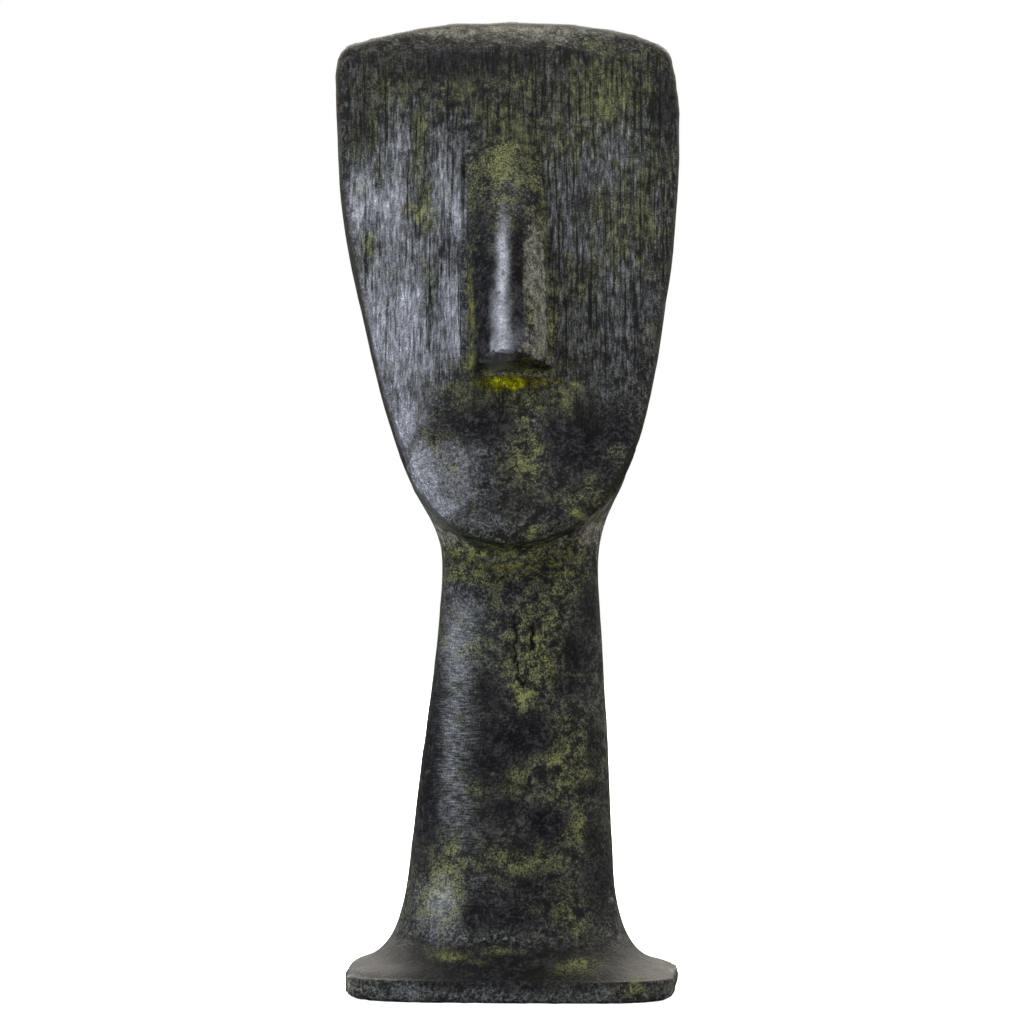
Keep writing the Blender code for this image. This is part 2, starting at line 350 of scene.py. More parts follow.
# Where the bare metal is polished, with a painted highlight on the nose's ridge and tip and on the
# chin's left: the same five numbers.
POLISH_AND_HIGHLIGHT_REGIONS = (
    (-1.4, 110.5, 0.9, 8.0, 1.0),
    (-13.4, 78.8, 1.1, 2.8, 0.65),
    (-11.4, 75.6, 1.5, 1.3, 0.6),
    (-1.7, 102.0, 1.5, 4.5, 0.9),
    (-1.9, 98.0, 2.2, 3.0, 0.85),
    (0.8, 99.5, 1.4, 3.0, 0.4),
)

# The part of the neck that was filed level: the same five numbers.
NECK_FILED_REGIONS = ((-7.0, 36.0, 6.0, 30.0, 1.0),)


# --- the net of the skin ---


def add_object(name, data):
    """A new object in the scene."""
    made = bpy.data.objects.new(name, data)
    bpy.context.scene.collection.objects.link(made)
    return made


def modified_mesh(piece):
    """The piece's mesh with its modifiers made permanent."""
    graph = bpy.context.evaluated_depsgraph_get()
    mesh = bpy.data.meshes.new_from_object(piece.evaluated_get(graph))
    piece.modifiers.clear()
    return mesh


def even_skin(source):
    """A copy of the solid's surface as an even net of small squares."""
    piece = add_object("bronze_head", source.data.copy())
    remesh = piece.modifiers.new("even_net", "REMESH")
    remesh.mode = "VOXEL"
    remesh.voxel_size = NET_SIZE * MM
    piece.data = modified_mesh(piece)
    return piece


def read_rows(parts, name, width=3, kind=float):
    """The same property of all these parts of a mesh, one row each."""
    flat = np.empty(len(parts) * width, dtype=kind)
    parts.foreach_get(name, flat)
    return flat.reshape(-1, width)


def read_faces(mesh):
    """The middle of every face in millimetres, and the way it faces."""
    return read_rows(mesh.polygons, "center") / MM, read_rows(mesh.polygon_normals, "vector")


def halve_net(mesh, chosen):
    """Halves the net at the chosen faces."""
    net = bmesh.new()
    net.from_mesh(mesh)
    edges = list({edge for face, picked in zip(net.faces, chosen) if picked for edge in face.edges})
    bmesh.ops.subdivide_edges(net, edges=edges, cuts=1, use_grid_fill=True)
    net.to_mesh(mesh)
    net.free()


def surface_tree(source):
    """The solid's surface, ready for finding its nearest points."""
    mesh = source.data
    return BVHTree.FromPolygons([v.co for v in mesh.vertices], [p.vertices for p in mesh.polygons])


def crisp_lines(source):
    """Points close together along every sharp fold of the solid, in millimetres, and whether
    the fold stands out."""
    net = bmesh.new()
    net.from_mesh(source.data)
    bmesh.ops.remove_doubles(net, verts=net.verts, dist=0.001 * MM)
    places, stands_out = [], []
    for edge in net.edges:
        if edge.is_manifold and edge.calc_face_angle() > CRISP_FOLD:
            start, end = (vert.co / MM for vert in edge.verts)
            steps = math.ceil((end - start).length / FOLD_SPACING) + 1
            places += [start.lerp(end, i / steps) for i in range(steps + 1)]
            stands_out += [edge.is_convex] * (steps + 1)
    net.free()
    return np.array(places), np.array(stands_out)


def nearest_of(points, places):
    """For every point, which of the places is nearest and how far away it is."""
    tree = KDTree(len(places))
    for i, place in enumerate(places):
        tree.insert(place, i)
    tree.balance()
    found = [tree.find(point)[1:] for point in points]
    return np.array([index for index, _ in found]), np.array([gap for _, gap in found])


def read_points(mesh):
    """The mesh's points in millimetres."""
    return read_rows(mesh.vertices, "co") / MM


def write_points(mesh, points):
    """Moves the mesh's points to these places in millimetres."""
    mesh.vertices.foreach_set("co", (points * MM).ravel())
    mesh.update()


def read_normals(mesh):
    """The way the surface faces at every point."""
    return read_rows(mesh.vertex_normals, "vector")


def read_edges(mesh):
    """The two points at the ends of every edge."""
    return read_rows(mesh.edges, "vertices", width=2, kind=int)


def lay_on_surface(points, tree):
    """The points moved to the nearest places on the solid."""
    return np.array([tree.find_nearest(Vector(point) * MM)[0] for point in points]) / MM


def neighbour_mean(values, edges):
    """For every point, the mean of the values at its neighbours."""
    start, end = edges.T
    count = len(values)
    degree = np.maximum(np.bincount(edges.ravel(), minlength=count), 1)
    columns = values.reshape(count, -1).T
    sums = [np.bincount(start, c[end], count) + np.bincount(end, c[start], count) for c in columns]
    return (np.array(sums) / degree).T.reshape(values.shape)


def relax(points, edges, give, rounds):
    """Moves every point towards the middle of its neighbours, as far as its give allows."""
    for _ in range(rounds):
        points = points + 0.5 * give[:, None] * (neighbour_mean(points, edges) - points)
    return points


def fair(points, edges, give, rounds):
    """Smooths facets and creases away and keeps the form from shrinking."""
    once = relax(points, edges, give, rounds)
    return 2.0 * once - relax(once, edges, give, rounds)


def fair_along(points, edges, on_line, rounds):
    """Smooths the points on the crisp lines, each along its own line."""
    both = edges[on_line[edges].all(axis=1)]
    joined = np.bincount(both.ravel(), minlength=len(points)) >= 2
    return relax(points, both, (joined & on_line).astype(float), rounds)


# --- shapes that the relief and the patina are made from ---


def soft_step(start, end, value):
    """Nothing at the start, one at the end, smooth in between."""
    share = np.clip((value - start) / (end - start), 0.0, 1.0)
    return share * share * (3.0 - 2.0 * share)


def band(value, lower, upper):
    """One in the middle of a band that fades out at both ends."""
    return soft_step(*lower, value) * soft_step(*upper, value)


def ridge(distance, width):
    """One at the middle, fading to nothing at about twice the width."""
    return np.exp(-((distance / width) ** 2))


def profile(distance, line):
    """The cross-section of a raised or sunken line: how far off it lies, its rise, its width."""
    offset, rise, width = line
    return rise * ridge(distance - offset, width)


def cloud(points, size, octaves=3, seed=0, stretch=(1.0, 1.0, 1.0)):
    """Smooth noise from about -1 to 1, with lumps of this size."""
    shift = Vector((17.3, 5.1, 11.7)) * seed
    scaled = points / (np.array(stretch) * size)
    return np.array([noise.fractal(Vector(p) + shift, 1.0, 2.0, octaves) for p in scaled])


def from_line(points, corners):
    """Distance to a line of corners in the front view, positive on its right going along it,
    and the share of the way along it of the nearest place."""
    place = points[:, [0, 2]]
    corners = np.array(corners)
    lengths = np.linalg.norm(np.diff(corners, axis=0), axis=1)
    passed = np.concatenate(((0.0,), np.cumsum(lengths)))
    nearest = np.full(len(place), np.inf)
    side = np.ones(len(place))
    along = np.zeros(len(place))
    for i, length in enumerate(lengths):
        way = (corners[i + 1] - corners[i]) / length
        offset = place - corners[i]
        share = np.clip(offset @ way, 0.0, length)
        gap = np.linalg.norm(offset - share[:, None] * way, axis=1)
        closer = gap < nearest
        nearest[closer] = gap[closer]
        side[closer] = np.sign(offset[:, 0] * way[1] - offset[:, 1] * way[0])[closer]
        along[closer] = ((passed[i] + share) / passed[-1])[closer]
    return nearest * side, along


def regions(points, warp, spots):
    """The strongest of several soft-edged regions at every point. The warp makes their edges
    ragged, the smaller ones less so."""
    total = np.zeros(len(points))
    for across, height, half_width, half_height, strength in spots:
        bending = min(MOST_BENDING, BENDING * half_width, BENDING * half_height)
        bent = points + bending * warp
        reach = ((bent[:, 0] - across) / half_width) ** 2
        reach += ((bent[:, 2] - height) / half_height) ** 2
        total = np.maximum(total, strength * np.exp(-REGION_FALL * reach))
    return total


def dots(points, spots):
    """Small round dots, each one at its middle."""
    total = np.zeros(len(points))
    for across, height, radius in spots:
        gap = np.hypot(points[:, 0] - across, points[:, 2] - height)
        total = np.maximum(total, ridge(gap, radius))
    return total


# --- the relief ---

# Where the folds at the nose's two feet are looked for: heights, the furthest back, and how far
# across the left ones reach at most and the right ones begin.
NOSE_FOLD_HEIGHTS = (97.0, 137.0)
NOSE_FOLD_BACK = 3.0
LEFT_FOLD_END = -3.0
RIGHT_FOLD_START = 1.0

# The lines of the relief in cross-section: how far off they lie, their rise and their width.
# The lip and the bumps have a rise of their own below, which changes along the line.
NOSE_GROOVE = (-0.05, -0.42, 0.32)
NOSE_LIP = (-0.95, 1.0, 0.5)
NOSE_STEP = (0.0, 0.14, 0.7)
NOSE_RIGHT_LINE = (0.1, -0.22, 0.3)
NOSE_RIGHT_HALO = (0.0, -0.1, 0.5)
FOOT_LINE = (0.0, -0.32, 0.35)
FOOT_BUMP = (-0.7, 1.0, 0.45)
THROAT_LINE = (0.0, -0.15, 0.4)
PLATE_LIP = (3.1, 0.28, 0.4)
LIP_RISE = 0.05
LIP_SWELL = 0.16
BUMP_RISE = 0.4
RAGGEDNESS = 0.1

# Where the lines show: heights along the nose, and shares of the way along the foot's crease.
GROOVE_BAND = ((95.0, 97.0), (136.0, 126.0))
UPPER_SWELL_BAND = ((118.0, 121.0), (131.0, 127.0))
LOWER_SWELL_BAND = ((94.0, 98.0), (112.0, 108.0))
RIGHT_LINE_BAND = ((95.0, 98.0), (134.0, 124.0))
FOOT_LINE_BAND = ((0.0, 0.1), (1.0, 0.85))
FOOT_BUMP_BAND = ((0.0, 0.1), (0.75, 0.6))

BEAD_RISE = 0.2
PIT_DEPTH = 0.16
CRACK_DEPTH = 0.35
CRACK_WIDTH = 0.3
CRACK_WANDER = 0.6

# The surface's own unevenness: the rise of each kind, from the broad down to the fine.
BROAD_RISE = 0.16
MIDDLING_RISE = 0.03
FACET_RISE = 0.05
GRAIN_RISE = 0.035

# The crown's outline: how much fuller beside its middle and at its two corners, and where.
CROWN_FULLNESS = 0.2
CORNER_FULLNESS = 0.5
CROWN_SIDES = ((3.0, 10.0), (27.0, 22.0))
CROWN_EDGE = (144.0, 149.0)
CROWN_SLOPE = 0.25
CROWN_SLOPE_START = 12.0

# The height below which the underside stays flat, and how near to a fold, a line or a dot of
# the relief the net is halved.
UNDERSIDE = 0.3
NEAR_FOLD = 0.6
NEAR_LINE = 1.0
NEAR_DOT = 0.8


def nose_feet(places, stands_out):
    """The folds where the nose's left and right side meet the face, read from the solid, each
    from its lowest point to its highest."""
    lowest, highest = NOSE_FOLD_HEIGHTS
    folds = places[~stands_out & (places[:, 2] > lowest) & (places[:, 2] < highest)]
    folds = folds[folds[:, 1] < NOSE_FOLD_BACK]
    sides = folds[folds[:, 0] < LEFT_FOLD_END], folds[folds[:, 0] > RIGHT_FOLD_START]
    return [side[np.argsort(side[:, 2])] for side in sides]


def across_from(points, fold):
    """How far right of the fold each point is, at its own height."""
    return points[:, 0] - np.interp(points[:, 2], fold[:, 2], fold[:, 0])


def fill_sides(points):
    """Moves the left and right sides out to the full outline."""
    heights, at_left, at_right = np.array(SIDE_FULLNESS).T
    rows = np.maximum(points[:, 2], 0.0).astype(int)
    for sign, fullness in ((-1.0, at_left), (1.0, at_right)):
        outline = np.ones(rows.max() + 1)
        np.maximum.at(outline, rows, sign * points[:, 0])
        edge = np.interp(points[:, 2], np.arange(len(outline)) + 0.5, outline)
        share = soft_step(*SIDE_REACH, sign * points[:, 0] / edge)
        points[:, 0] += sign * share * np.interp(points[:, 2], heights, fullness)
    return points


def blended_zones(points):
    """The zones where the solid's parts blend into each other: behind the jaw, and the throat."""
    joint = soft_step(*JOINT_DEPTH, points[:, 1]) * band(points[:, 2], *JOINT_BAND)
    throat = soft_step(*THROAT_DEPTH, points[:, 1]) * band(points[:, 2], *THROAT_BAND)
    return joint, throat


def fairing_give(points, gap, on_line):
    """How freely each point moves as the skin is smoothed."""
    give = soft_step(*GIVE_REACH, gap) * (~on_line)
    crown_give = CROWN_GIVE + CROWN_MIDDLE_GIVE * soft_step(*CROWN_MIDDLE, np.abs(points[:, 0]))
    give = np.where(points[:, 2] > CROWN_BASE, crown_give, give)
    return np.where(points[:, 2] < PLATE_ZONE, np.minimum(give, PLATE_GIVE), give)


def build_skin(source, places):
    """The smooth skin over the solid, before any relief."""
    piece = even_skin(source)
    mesh = piece.data
    halve_net(mesh, read_faces(mesh)[1][:, 1] < FRONT_FACING)
    points = lay_on_surface(read_points(mesh), surface_tree(source))
    write_points(mesh, points)
    edges = read_edges(mesh)
    in_front = read_normals(mesh)[:, 1] < FRONT_FACING

    joint, throat = blended_zones(points)
    points = relax(points, edges, np.maximum(joint, THROAT_BLEND * throat), BLEND_ROUNDS)

    which, gap = nearest_of(points, places)
    on_line = gap < 0.5 * np.where(in_front, 0.5 * NET_SIZE, NET_SIZE)
    on_line &= (joint < BLENDED) & (throat < BLENDED) & (points[:, 2] < CROWN_BASE)
    points[on_line] = places[which[on_line]]
    points = fair_along(points, edges, on_line, LINE_ROUNDS)
    points = fair(points, edges, fairing_give(points, gap, on_line), FAIRING_ROUNDS)
    last_give = np.where(on_line, LAST_GIVE_ON_LINES, LAST_GIVE)
    points = fill_sides(relax(points, edges, last_give, LAST_ROUNDS))
    write_points(mesh, points)
    return piece


def near_relief(mesh, places):
    """Which faces of the front lie near a line or a dot of the relief."""
    middles, facing = read_faces(mesh)
    near = nearest_of(middles, places)[1] < NEAR_FOLD
    for line in (THROAT_CREASE, FOOT_CREASE) + CRACKS:
        near |= np.abs(from_line(middles, line)[0]) < NEAR_LINE
    near |= np.abs(middles[:, 2] - PLATE_LIP[0]) < NEAR_FOLD
    for across, height, _ in PITS + BEADS:
        near |= np.hypot(middles[:, 0] - across, middles[:, 2] - height) < NEAR_DOT
    return near & (facing[:, 1] < FRONT_FACING)


def height_over_face(points):
    """How far in front of the plane of the face each point is."""
    return (points - CHIN) @ FACE_NORMAL


def face_share(points, normals):
    """One on the flat of the face, beside the nose and below it."""
    out = height_over_face(points)
    return soft_step(0.88, 0.96, normals @ FACE_NORMAL) * band(out, (-2.0, -1.0), (3.2, 2.7))


def nose_relief(points, feet, front):
    """The groove and lip at the nose's left foot, and the softer lines at its right."""
    height = points[:, 2]
    left, right = (across_from(points, foot) for foot in feet)
    swell = band(height, *UPPER_SWELL_BAND) + band(height, *LOWER_SWELL_BAND)
    lip = (LIP_RISE + LIP_SWELL * swell) * profile(left, NOSE_LIP)
    strip, strip_along = from_line(points, NOSE_STRIP)
    step = profile(strip, NOSE_STEP) * soft_step(0.0, 0.5, left) * soft_step(1.0, 0.8, strip_along)
    line = profile(right, NOSE_RIGHT_LINE) * band(height, *RIGHT_LINE_BAND)
    halo, halo_along = from_line(points, NOSE_RIGHT_STEP)
    soft = profile(halo, NOSE_RIGHT_HALO) * ridge(halo_along - 0.5, 0.4)
    at_left = (profile(left, NOSE_GROOVE) + lip) * band(height, *GROOVE_BAND)
    return front * (at_left + step + line + soft)


def foot_bumps(points):
    """The row of small bumps of metal just above the crease at the foot."""
    foot, along = from_line(points, FOOT_CREASE)
    lumps = soft_step(-0.1, 0.35, cloud(points, 0.75, 2, seed=3))
    return profile(foot, FOOT_BUMP) * lumps * band(along, *FOOT_BUMP_BAND)


def crease_relief(points, front):
    """The crease in the throat, and the ragged one at the foot with its row of bumps."""
    throat, _ = from_line(points, THROAT_CREASE)
    foot, foot_along = from_line(points, FOOT_CREASE)
    ragged = foot - RAGGEDNESS * cloud(points, 1.1, 2, seed=3)
    line = profile(ragged, FOOT_LINE) * band(foot_along, *FOOT_LINE_BAND)
    return front * (line + BUMP_RISE * foot_bumps(points) + profile(throat, THROAT_LINE))


def crown_fullness(points, normals):
    """The crown's outline, a little fuller on both sides of its middle and at its corners."""
    across = np.abs(points[:, 0])
    edge = points[:, 2] + CROWN_SLOPE * np.maximum(across - CROWN_SLOPE_START, 0.0)
    sides = band(across, *CROWN_SIDES) * soft_step(*CROWN_EDGE, edge)
    outward = soft_step(0.3, 0.9, np.hypot(normals[:, 0], normals[:, 2]))
    corners = dots(points, CROWN_CORNERS) * outward
    return CROWN_FULLNESS * sides + CORNER_FULLNESS * corners


def plate_lip(points, normals):
    """The crisp upper edge of the foot plate, all the way round."""
    return profile(points[:, 2], PLATE_LIP) * soft_step(0.95, 0.6, normals[:, 2])


def crack_field(points, front):
    """The two thin cracks in the neck under the chin."""
    total = np.zeros(len(points))
    wander = CRACK_WANDER * cloud(points, 1.1, 3, seed=6)
    width = CRACK_WIDTH + 0.16 * cloud(points, 0.6, 1, seed=7)
    for crack in CRACKS:
        gap, along = from_line(points, crack)
        total = np.maximum(total, ridge(gap + wander, width) * soft_step(0.0, 0.3, along))
    return total * front


def surface_relief(points, flat, front):
    """Unevenness left by the hand, the files and the mould."""
    height = points[:, 2]
    broad = BROAD_RISE * cloud(points, 14.0, 2, seed=1) * soft_step(149.0, 138.0, height)
    bumps = cloud(points, 3.0, 3, seed=2)
    facets = FACET_RISE * cloud(points, 1.6, 2, seed=4, stretch=(1.0, 5.0, 9.0)) * flat
    chin = soft_step(97.0, 84.0, height + 1.2 * bumps) * soft_step(68.0, 71.0, height)
    grains = GRAIN_RISE * cloud(points, 0.8, 2, seed=5) * chin * front
    return broad + MIDDLING_RISE * bumps + facets + grains


def carve(piece, feet):
    """Gives the skin its relief. Returns its points and normals from before, and named shares."""
    mesh = piece.data
    points, normals = read_points(mesh), read_normals(mesh)
    front = soft_step(0.1, -0.3, normals[:, 1])
    flat = face_share(points, normals)
    crack = crack_field(points, front)
    pit = dots(points, PITS) * front
    bead = dots(points, BEADS) * front
    inwards = points - neighbour_mean(points, read_edges(mesh))
    bend = np.einsum("ij,ij->i", inwards, normals)
    rise = nose_relief(points, feet, front) + crease_relief(points, front)
    rise += surface_relief(points, flat, front) + plate_lip(points, normals)
    rise += crown_fullness(points, normals)
    rise += BEAD_RISE * bead - PIT_DEPTH * pit - CRACK_DEPTH * crack
    rise[points[:, 2] < UNDERSIDE] = 0.0
    moved = points + normals * rise[:, None]
    write_points(mesh, np.clip(moved, np.array(low) / MM, np.array(high) / MM))
    return points, normals, {"front": front, "flat": flat, "hole": crack, "bend": bend}


# --- the patina ---

# Bands of height: the filed neck, the nose's right flank, beside the jaw, up the right side.
NECK_BAND = ((9.0, 14.0), (62.0, 56.0))
NOSE_FLANK_BAND = ((95.9, 96.7), (125.0, 112.0))
JAW_SIDE_BAND = ((66.0, 70.0), (78.0, 73.0))
RIGHT_SIDE_BAND = ((64.0, 68.0), (112.0, 104.0))

# How strongly each kind of patina, painted light and painted shade shows where the shape, and no
# region above, places it. The throat's deposit is the cross-section of a line, like those of the
# relief.
BACK_OLIVE = 0.15
BACK_DARK = 0.2
# Painted light: the jaw's sides, which also have some pale bloom, the surfaces facing right up the
# head's right side and the nose's right flank are made paler, as the side lamps light them.
JAW_BLOOM_AND_LIGHT = 0.6
RIGHT_SIDE_LIGHT = 0.35
NOSE_FLANK_LIGHT = 0.55
STRIP_CORE = 0.7
STRIP_DEPOSIT = 0.2
THROAT_DEPOSIT = (0.5, 0.22, 0.8)
UNDER_NOSE_DEPOSIT = 0.16
# Painted shade: the top of the foot, where it faces up, is darkened with the rim's brown.
SHELF_SHADE = 0.4
EDGE_WEAR = 0.5
BUMP_WEAR = 0.8
BEAD_WEAR = 0.5


def side_bloom_and_light(points, normals):
    """Pale bloom and painted light on the head's flanks: strongest beside the jaw, and fainter up the
    right, where it is painted light alone.
    """
    height = points[:, 2]
    sideways = normals[:, 0] * soft_step(0.35, 0.0, normals[:, 1])
    jaw = soft_step(0.35, 0.75, np.abs(sideways)) * band(height, *JAW_SIDE_BAND)
    right = soft_step(0.7, 0.97, sideways) * band(height, *RIGHT_SIDE_BAND)
    return np.maximum(JAW_BLOOM_AND_LIGHT * jaw, RIGHT_SIDE_LIGHT * right)


def green_shares(points, warp, mottle, front):
    """The olive patina, its yellow-green cores and the bright deposit."""
    strip, along = from_line(points, NOSE_STRIP)
    strip = ridge(strip, 0.8) * soft_step(1.0, 0.6, along) * (0.7 + 0.4 * mottle)
    core = front * np.maximum(regions(points, warp, CORE_REGIONS), STRIP_CORE * strip)
    olive = front * regions(points, warp, OLIVE_REGIONS)
    olive += (1.0 - front) * (BACK_OLIVE + 0.3 * mottle) + 0.1 * mottle
    olive = np.maximum.reduce((olive, front * strip, core))
    throat, _ = from_line(points, THROAT_CREASE)
    deposit = np.maximum(regions(points, warp, DEPOSIT_REGIONS), STRIP_DEPOSIT * strip)
    return olive, core, front * np.maximum(deposit, profile(throat, THROAT_DEPOSIT))


def nose_sides(points, normals, front):
    """The nose's right flank, its left flank and its underside."""
    height, rightwards, out = points[:, 2], normals[:, 0], height_over_face(points)
    right = front * soft_step(2.7, 3.4, out) * soft_step(0.4, 0.65, rightwards)
    left = soft_step(1.5, 2.5, out) * soft_step(-0.45, -0.75, rightwards)
    under = soft_step(1.0, 2.0, out) * soft_step(-0.4, -0.8, normals[:, 2])
    return right * band(height, *NOSE_FLANK_BAND), left, under * soft_step(90.0, 92.0, height)


def patina_shares(points, normals, shares):
    """How strongly each kind of patina, painted shade and painted light shows at every point."""
    height, front = points[:, 2], shares["front"]
    warp = np.stack([cloud(points, 4.0, 3, seed=seed) for seed in (11, 12, 13)], axis=1)
    mottle = cloud(points, 6.0, 3, seed=14)
    nose_right, nose_left, nose_under = nose_sides(points, normals, front)

    olive, core, deposit = green_shares(points, warp, mottle, front)
    dark = front * regions(points, warp, DARK_REGIONS)
    dark += (1.0 - front) * (BACK_DARK + 0.4 * soft_step(0.0, 0.6, -mottle))
    # Pale bloom, with painted light on the nose's right flank and on the head's sides, and painted
    # reflection on the crown and the foot plate's ends.
    pale = front * np.maximum(NOSE_FLANK_LIGHT * nose_right, regions(points, warp, PALE_REGIONS))
    pale = np.maximum(pale, side_bloom_and_light(points, normals) * (1.0 + 0.5 * mottle))

    rim = front * soft_step(0.93, 0.75, normals @ FACE_NORMAL) * soft_step(70.0, 80.0, height)
    rim *= soft_step(1.2, 0.4, height_over_face(points))
    # Painted shade on the top of the foot where it faces up.
    shelf = front * soft_step(0.45, 0.85, normals[:, 2]) * soft_step(14.0, 9.0, height)

    # Bared metal, whose light colour also paints a sheen; kept off the nose's left flank and off
    # surfaces facing far left.
    wear_and_sheen = front * regions(points, warp, WEAR_AND_SHEEN_REGIONS) * (1.0 - nose_left)
    wear_and_sheen *= soft_step(-0.99, -0.86, normals[:, 0])
    edges = soft_step(0.012, 0.05, shares["bend"]) * soft_step(-0.3, 0.4, mottle)
    bumps = front * np.maximum(BUMP_WEAR * foot_bumps(points), BEAD_WEAR * dots(points, BEADS))
    neck_filed = band(height, *NECK_BAND) * regions(points, warp, NECK_FILED_REGIONS)
    return {
        "olive": olive * (1.0 - 0.6 * nose_right),
        "core": core,
        "dark": dark * (1.0 - nose_right) * (1.0 - core),
        "pale": pale * (1.0 - core),
        "deposit": np.maximum(deposit, UNDER_NOSE_DEPOSIT * nose_under),
        "hole": shares["hole"],
        "rim": np.maximum(rim, SHELF_SHADE * shelf),
        "face_filed": shares["flat"] * soft_step(84.0, 95.0, height + 5.0 * mottle),
        "neck_filed": neck_filed,
        "wear_and_sheen": np.maximum.reduce((wear_and_sheen, EDGE_WEAR * edges, bumps)),
        "polish_and_highlight": front * regions(points, warp, POLISH_AND_HIGHLIGHT_REGIONS) * (1.0 - nose_left),
    }


def store(mesh, shares):
    """Keeps each share on the mesh under its name, for the material."""
    for name, values in shares.items():
        kept = mesh.attributes.new(name, "FLOAT", "POINT")
        kept.data.foreach_set("value", np.clip(values, 0.0, 1.0))


# --- the material ---


def new_material(name):
    """A new material and its shader."""
    material = bpy.data.materials.new(name)
    material.use_nodes = True
    return material, material.node_tree.nodes["Principled BSDF"]


def connect(node, inputs):
    """Gives the node its inputs: numbers, colours or other nodes' outputs."""
    for name, value in inputs.items():
        if isinstance(value, bpy.types.NodeSocket):
            node.id_data.links.new(value, node.inputs[name])
        else:
            node.inputs[name].default_value = value


def add_node(tree, kind, inputs=None, **settings):
    """A new node with its settings and inputs."""
    made = tree.nodes.new("ShaderNode" + kind)
    for name, setting in settings.items():
        setattr(made, name, setting)
    connect(made, inputs or {})
    return made


def share_of(tree, name):
    """One of the shares kept on the mesh."""
    return add_node(tree, "Attribute", attribute_name=name).outputs["Fac"]


def stretched(tree, place, size, stretch=(1.0, 1.0, 1.0)):
    """The place, scaled so that one step is this size in millimetres."""
    per_metre = [1.0 / (size * MM * part) for part in stretch]
    return add_node(tree, "VectorMath", {0: place, 1: per_metre}, operation="MULTIPLY").outputs[0]


def speckle(tree, place, size, detail=3.0, roughness=0.6, stretch=(1.0, 1.0, 1.0)):
    """Noise from 0 to 1 with lumps of this size in millimetres."""
    scaled = stretched(tree, place, size, stretch)
    values = {"Vector": scaled, "Scale": 1.0, "Detail": detail, "Roughness": roughness}
    return add_node(tree, "TexNoise", values).outputs["Fac"]


def cells(tree, place, size):
    """Small cells of this size: 0 on the lines between them, rising towards their middles."""
    values = {"Vector": stretched(tree, place, size), "Scale": 1.0}
    return add_node(tree, "TexVoronoi", values, feature="DISTANCE_TO_EDGE").outputs["Distance"]


def calculate(tree, operation, first, second):
    """The sum, product or the like of two values."""
    return add_node(tree, "Math", {0: first, 1: second}, operation=operation).outputs[0]


def between(tree, value, start, end, lowest=0.0, highest=1.0):
    """Lowest where the value is at the start, highest at the end, smooth in between."""
    values = {"Value": value, "From Min": start, "From Max": end, "To Min": lowest, "To Max": highest}
    return add_node(tree, "MapRange", values, interpolation_type="SMOOTHSTEP").outputs["Result"]


def mix_value(tree, share, first, second):
    """The first value where the share is 0, the second where it is 1."""
    return add_node(tree, "Mix", {0: share, 2: first, 3: second}, data_type="FLOAT").outputs[0]


def mix_colour(tree, share, first, second):
    """The first colour where the share is 0, the second where it is 1."""
    return add_node(tree, "Mix", {0: share, 6: first, 7: second}, data_type="RGBA").outputs[2]


def shades(tree, value, stops):
    """Colours met one after another as the value rises: (value, (red, green, blue))."""
    made = add_node(tree, "ValToRGB", {"Fac": value})
    ramp = made.color_ramp
    while len(ramp.elements) < len(stops):
        ramp.elements.new(0.5)
    for element, (position, colour) in zip(ramp.elements, stops):
        element.position = position
        element.color = (*colour, 1.0)
    return made.outputs["Color"]


def blend_level(tree, *weighted, start=0.0):
    """The start plus each value times its weight. Noise is weighed by how far it is from its
    middle, the third number."""
    total = start
    for value, weight, middle in weighted:
        values = {0: value, 1: weight, 2: -weight * middle}
        part = add_node(tree, "Math", values, operation="MULTIPLY_ADD").outputs[0]
        total = calculate(tree, "ADD", total, part)
    return total


METAL_SHADES = (
    (0.2, (0.009, 0.009, 0.009)),
    (0.43, (0.022, 0.022, 0.022)),
    (0.6, (0.042, 0.043, 0.042)),
    (0.85, (0.085, 0.087, 0.084)),
)
OLIVE_SHADES = (
    (0.15, (0.008, 0.009, 0.006)),
    (0.38, (0.027, 0.029, 0.019)),
    (0.54, (0.052, 0.056, 0.034)),
    (0.7, (0.090, 0.095, 0.048)),
    (0.98, (0.200, 0.206, 0.074)),
)
# Pale bloom, and also the colours of the painted light on the nose's right flank and the head's
# sides, and of the painted reflection on the crown and the foot plate's ends.
PALE_SHADES = (
    (0.2, (0.075, 0.072, 0.056)),
    (0.5, (0.165, 0.160, 0.128)),
    (0.8, (0.280, 0.272, 0.220)),
)
DEPOSIT_SHADES = (
    (0.2, (0.026, 0.025, 0.001)),
    (0.45, (0.095, 0.090, 0.003)),
    (0.62, (0.230, 0.222, 0.006)),
    (0.8, (0.480, 0.465, 0.016)),
)
# Bare metal, coloured light enough to paint the lamps' sheen and highlights as well.
BARE_AND_SHEEN_SHADES = (
    (0.2, (0.110, 0.115, 0.130)),
    (0.5, (0.200, 0.209, 0.238)),
    (0.8, (0.330, 0.348, 0.398)),
    (1.0, (0.640, 0.665, 0.730)),
)
# Blue-black soot, and also the colours of the painted shade under the nose, beside it, along the neck
# and on top of the foot.
SOOT_AND_SHADE_COLOURS = (
    (0.3, (0.003, 0.003, 0.004)),
    (0.6, (0.010, 0.010, 0.013)),
    (0.8, (0.024, 0.023, 0.028)),
)
# Brown along the face's edge band; the same colour paints shade on the top of the foot.
RIM_BROWN_AND_SHELF_SHADE = (0.014, 0.013, 0.009, 1.0)
HOLE_BLACK = (0.003, 0.003, 0.003, 1.0)
VEIN_BLACK = (0.004, 0.004, 0.004, 1.0)

